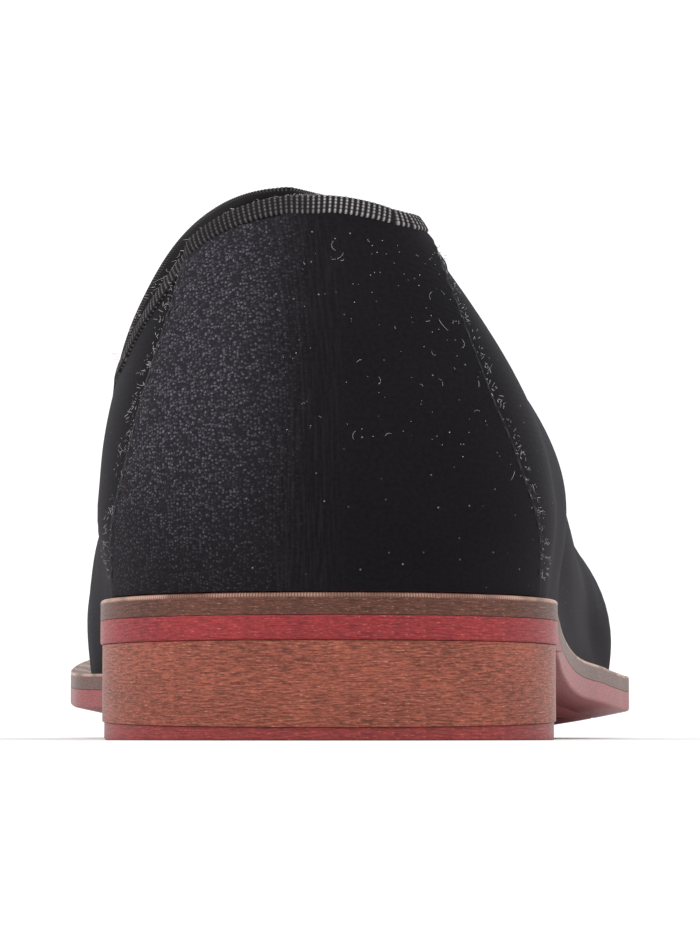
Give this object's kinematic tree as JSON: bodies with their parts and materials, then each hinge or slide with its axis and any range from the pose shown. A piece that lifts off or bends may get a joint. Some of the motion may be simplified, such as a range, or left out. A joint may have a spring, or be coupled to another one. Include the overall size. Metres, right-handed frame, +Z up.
{
  "type": "velvet loafer",
  "caption": "Right slip-on loafer: hollow velvet upper with back panel and ribbed collar binding, leather sole with arch and toe spring, stacked heel.",
  "frame": {"origin": "middle of the heel's resting face, on the floor", "axes": "+X to the outer side of the right foot, +Y from the heel to the toe, +Z up"},
  "size_m": [0.108, 0.3025, 0.098],
  "materials": {
    "sole_leather": "red edge dye, polished",
    "welt_leather": "brown, polished edge",
    "insole_leather": "burgundy lining leather, matt",
    "heel_leather": "stacked layers, polished",
    "top_piece_leather": "red edge dye, polished",
    "velvet": "black pile",
    "panel_velvet": "black pile with fine dots",
    "grosgrain": "black ribbed ribbon"
  },
  "bodies": {
    "root": {"outsole": "sole_leather", "welt": "welt_leather", "insole": "insole_leather", "heel_block": "heel_leather", "top_piece": "top_piece_leather", "upper": "velvet", "back_panel": "panel_velvet", "collar_binding": "grosgrain"}
  },
  "joints": []
}
